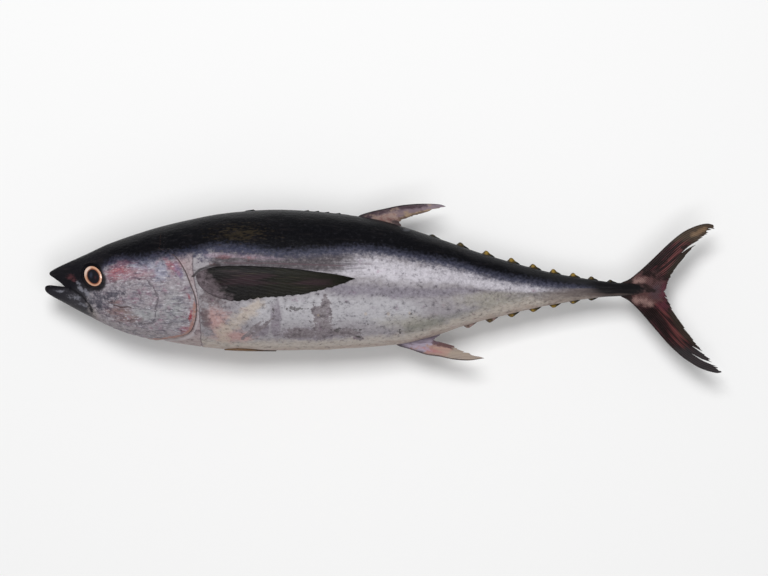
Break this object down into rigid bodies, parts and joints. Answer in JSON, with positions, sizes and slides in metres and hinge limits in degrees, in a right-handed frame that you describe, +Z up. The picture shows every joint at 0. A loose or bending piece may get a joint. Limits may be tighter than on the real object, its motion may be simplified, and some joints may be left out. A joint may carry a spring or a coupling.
{
  "type": "whole raw tuna fish",
  "caption": "Whole raw tuna lying on its right flank, with a spindle-shaped trunk, long pectoral fins, small yellow finlets and a crescent tail.",
  "frame": {"origin": "on the table the fish lies on, below the middle of the fish's length and of its height from belly to back, that is the centre of the bounding box's bottom", "axes": "+X from the head towards the tail, +Y from the belly towards the back, +Z up, out of the left flank"},
  "size_m": [1, 0.2508, 0.1473],
  "materials": {
    "skin": "wet raw skin with tiny scales: near-black back, silver-lilac flanks, pale belly",
    "eye": "wet clear cornea over an orange-gold iris and a black pupil",
    "dark_fin": "wet black-olive fin membrane over fine rays",
    "belly_fin": "wet brown membrane with an orange-brown base",
    "median_fin": "wet pink-grey to tan membrane with a dark front edge",
    "tail_fin": "wet maroon-black rays, tan towards the tips",
    "finlet": "wet yellow membrane with a black edge"
  },
  "bodies": {
    "root": {"body": "skin", "eye_left": "eye", "eye_right": "eye", "pectoral_fin_left": "dark_fin", "pectoral_fin_right": "dark_fin", "pelvic_fin_left": "belly_fin", "pelvic_fin_right": "belly_fin", "first_dorsal_fin": "dark_fin", "second_dorsal_fin": "median_fin", "anal_fin": "median_fin", "caudal_fin": "tail_fin", "dorsal_finlet_1": "finlet", "dorsal_finlet_2": "finlet", "dorsal_finlet_3": "finlet", "dorsal_finlet_4": "finlet", "dorsal_finlet_5": "finlet", "dorsal_finlet_6": "finlet", "dorsal_finlet_7": "finlet", "dorsal_finlet_8": "finlet", "dorsal_finlet_9": "finlet", "anal_finlet_1": "finlet", "anal_finlet_2": "finlet", "anal_finlet_3": "finlet", "anal_finlet_4": "finlet", "anal_finlet_5": "finlet", "anal_finlet_6": "finlet", "anal_finlet_7": "finlet"}
  },
  "joints": []
}
